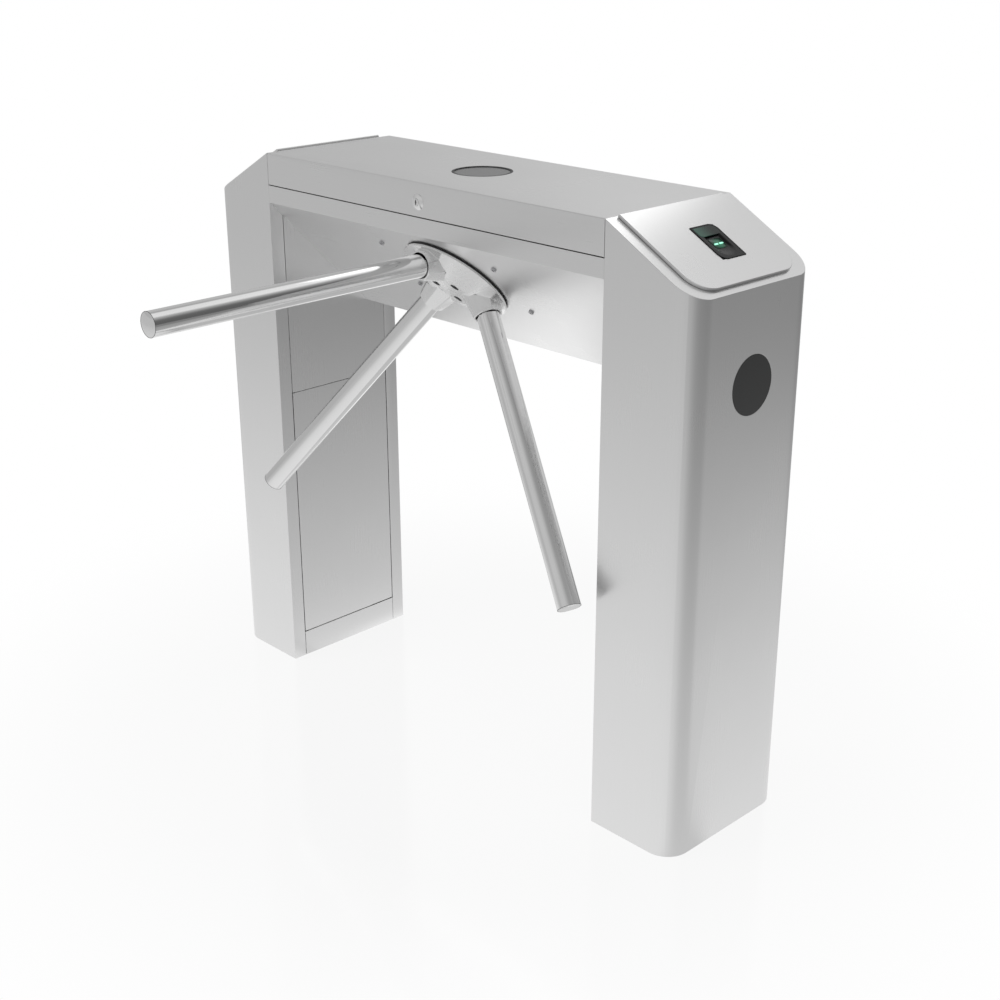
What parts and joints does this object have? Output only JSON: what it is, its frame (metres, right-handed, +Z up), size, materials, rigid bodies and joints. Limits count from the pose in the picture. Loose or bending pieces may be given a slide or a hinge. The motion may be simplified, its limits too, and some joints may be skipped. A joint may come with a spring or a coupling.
{
  "type": "tripod turnstile",
  "caption": "Tripod turnstile: three chrome arms on a tilted hub under a brushed steel beam between two columns, with a fingerprint reader on a sloped end.",
  "frame": {"origin": "centre of the cabinet's footprint on the floor, midway between the two columns' anchor holes", "axes": "+X along the beam towards the column with the reader, -Y the side that the arms reach out to, +Z up"},
  "size_m": [1.12, 0.7925, 0.9886],
  "materials": {
    "brushed_steel": "brushed",
    "polished_steel": "polished",
    "zinc_steel": "zinc plated, satin",
    "black_oxide": "black oxide",
    "machined_steel": "machined",
    "black_plastic": "satin",
    "grey_lens": "satin acrylic",
    "smoked_lens": "gloss acrylic",
    "reader_glass": "gloss",
    "reader_light": "lit",
    "circuit_board": "satin",
    "motor_black": "satin",
    "plain_aluminium": "satin"
  },
  "bodies": {
    "cabinet": {"left_column": "brushed_steel", "right_column": "brushed_steel", "left_base": "brushed_steel", "right_base": "brushed_steel", "left_upper_panel": "brushed_steel", "right_upper_panel": "brushed_steel", "door_hinge_pins": "zinc_steel", "beam": "brushed_steel", "beam_bolts": "zinc_steel", "hinge_leaf_beam": "zinc_steel", "hinge_rod": "zinc_steel", "lid_catch": "zinc_steel", "left_end_lens": "smoked_lens", "right_end_lens": "smoked_lens", "left_lamp_board": "circuit_board", "right_lamp_board": "circuit_board", "left_cover_plate": "brushed_steel", "right_cover_plate": "brushed_steel", "reader_body": "black_plastic", "reader_window": "reader_glass", "reader_lights": "reader_light", "hub_collar": "black_plastic", "front_bearing": "machined_steel", "rear_bearing": "machined_steel", "mechanism_plate": "zinc_steel", "mechanism_screws": "machined_steel", "rear_plate": "zinc_steel", "plate_pillars": "zinc_steel", "pawl_pins": "zinc_steel", "left_solenoid": "zinc_steel", "right_solenoid": "zinc_steel", "gearmotor": "motor_black", "control_board": "circuit_board", "power_supply": "plain_aluminium"},
    "tripod": {"hub": "polished_steel", "hub_screws": "black_oxide", "front_arm": "polished_steel", "left_arm": "polished_steel", "right_arm": "polished_steel", "front_arm_cap": "polished_steel", "left_arm_cap": "polished_steel", "right_arm_cap": "polished_steel", "arm_clamp_screws": "machined_steel", "main_shaft": "machined_steel", "locking_wheel": "machined_steel", "stop_rollers": "machined_steel"},
    "lid": {"lid": "brushed_steel", "hinge_leaf_lid": "zinc_steel", "lock_body": "polished_steel", "top_lens_ring": "black_plastic", "top_lens": "grey_lens", "top_lamp_board": "circuit_board"},
    "lock": {"lock_plug": "polished_steel", "lock_cam": "zinc_steel"},
    "left_door": {"left_door": "brushed_steel"},
    "right_door": {"right_door": "brushed_steel"},
    "left_pawl": {"left_pawl": "machined_steel"},
    "right_pawl": {"right_pawl": "machined_steel"},
    "left_plunger": {"left_plunger": "machined_steel"},
    "right_plunger": {"right_plunger": "machined_steel"}
  },
  "joints": [
    {"name": "tripod_spin", "type": "hinge", "parent": "cabinet", "child": "tripod", "pos_m": [0, -0.02601, 0.85205], "axis": [0, -0.7071, -0.7071], "continuous": true},
    {"name": "lid_hinge", "type": "hinge", "parent": "cabinet", "child": "lid", "pos_m": [0, 0.145, 0.93], "axis": [-1, 0, 0], "range_deg": [0, 100]},
    {"name": "lock_turn", "type": "hinge", "parent": "lid", "child": "lock", "pos_m": [0, -0.14, 0.954], "axis": [0, -1, 0], "range_deg": [0, 90]},
    {"name": "left_door_hinge", "type": "hinge", "parent": "cabinet", "child": "left_door", "pos_m": [-0.4, 0.0955, 0.2965], "axis": [0, 0, 1], "range_deg": [0, 100]},
    {"name": "right_door_hinge", "type": "hinge", "parent": "cabinet", "child": "right_door", "pos_m": [0.4, 0.0955, 0.2965], "axis": [0, 0, -1], "range_deg": [0, 100]},
    {"name": "left_pawl_turn", "type": "hinge", "parent": "cabinet", "child": "left_pawl", "pos_m": [-0.064, 0.00722, 0.81174], "axis": [0, 0.7071, 0.7071], "range_deg": [0, 9]},
    {"name": "right_pawl_turn", "type": "hinge", "parent": "cabinet", "child": "right_pawl", "pos_m": [0.064, 0.00722, 0.81174], "axis": [0, -0.7071, -0.7071], "range_deg": [0, 9]},
    {"name": "left_plunger_slide", "type": "slide", "parent": "cabinet", "child": "left_plunger", "axis": [0, -0.7071, 0.7071], "range_m": [0, 0.0054]},
    {"name": "right_plunger_slide", "type": "slide", "parent": "cabinet", "child": "right_plunger", "axis": [0, -0.7071, 0.7071], "range_m": [0, 0.0054]}
  ],
  "couplings": [
    {"joint": "left_plunger_slide", "follows": "left_pawl_turn", "m_per_rad": 0.034},
    {"joint": "right_plunger_slide", "follows": "right_pawl_turn", "m_per_rad": 0.034}
  ]
}
